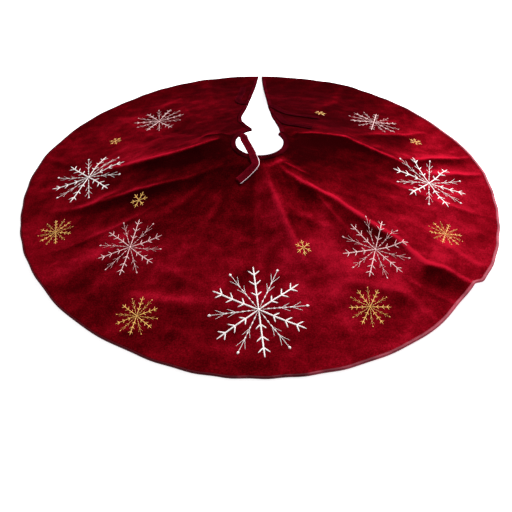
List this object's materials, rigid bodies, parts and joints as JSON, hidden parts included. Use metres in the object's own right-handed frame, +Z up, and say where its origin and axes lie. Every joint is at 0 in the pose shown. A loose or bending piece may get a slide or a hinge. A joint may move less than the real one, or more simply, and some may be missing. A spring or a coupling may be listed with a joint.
{
  "type": "tree skirt",
  "caption": "Round lined velvet tree skirt hanging as a low tent, with bound hem, neck and back slit, cloth ties along the slit and embroidered snowflakes.",
  "frame": {"origin": "centre of the skirt on the floor it lies on", "axes": "+Z up, -Y to the front of the skirt, the slit along +Y at the back, +X to the right seen from the front"},
  "size_m": [1.2198, 1.2185, 0.1301],
  "materials": {
    "velvet": "deep burgundy cut pile with a mottled nap and bright sheen on the folds",
    "tie_velvet": "narrow burgundy velvet ribbon with a pale back",
    "lining_cloth": "smooth pale lilac lining",
    "satin_tape": "folded satin tape, edge stitched",
    "silver_thread": "silvery white satin stitch",
    "gold_thread": "yellow gold metallic thread"
  },
  "bodies": {
    "skirt": {"velvet_face_1": "velvet", "velvet_face_2": "velvet", "velvet_face_3": "velvet", "velvet_face_4": "velvet", "velvet_face_5": "velvet", "lining": "lining_cloth", "hem_binding_1": "satin_tape", "hem_binding_2": "satin_tape", "hem_binding_3": "satin_tape", "hem_binding_4": "satin_tape", "hem_binding_5": "satin_tape", "neck_binding": "satin_tape", "slit_binding_left": "satin_tape", "slit_binding_right": "satin_tape", "flake_silver_large_1": "silver_thread", "flake_silver_large_2": "silver_thread", "flake_silver_large_3": "silver_thread", "flake_silver_medium_1": "silver_thread", "flake_silver_medium_2": "silver_thread", "flake_silver_medium_3": "silver_thread", "flake_silver_medium_4": "silver_thread", "flake_gold_medium_1": "gold_thread", "flake_gold_medium_2": "gold_thread", "flake_gold_medium_3": "gold_thread", "flake_gold_medium_4": "gold_thread", "flake_gold_small_1": "gold_thread", "flake_gold_small_2": "gold_thread", "flake_gold_small_3": "gold_thread", "flake_gold_small_4": "gold_thread", "flake_gold_small_5": "gold_thread"},
    "tie_upper_left": {"tie_upper_left": "tie_velvet"},
    "tie_upper_right": {"tie_upper_right": "tie_velvet"},
    "tie_lower_right": {"tie_lower_right": "tie_velvet"},
    "tie_lower_left": {"tie_lower_left": "tie_velvet"}
  },
  "joints": [
    {"name": "tie_upper_left_lift", "type": "hinge", "parent": "skirt", "child": "tie_upper_left", "pos_m": [-0.05032, 0.03024, 0.1268], "axis": [-0.515, -0.8572, 0], "range_deg": [0, 120]},
    {"name": "tie_upper_right_lift", "type": "hinge", "parent": "skirt", "child": "tie_upper_right", "pos_m": [0.03475, 0.21985, 0.08195], "axis": [0.0878, -0.9627, 0.256], "range_deg": [0, 120]},
    {"name": "tie_lower_right_lift", "type": "hinge", "parent": "skirt", "child": "tie_lower_right", "pos_m": [0.02774, 0.29908, 0.06145], "axis": [0.0629, -0.9669, 0.2474], "range_deg": [0, 120]},
    {"name": "tie_lower_left_lift", "type": "hinge", "parent": "skirt", "child": "tie_lower_left", "pos_m": [-0.03708, 0.33446, 0.05244], "axis": [0.1031, 0.9674, -0.2313], "range_deg": [0, 120]}
  ]
}
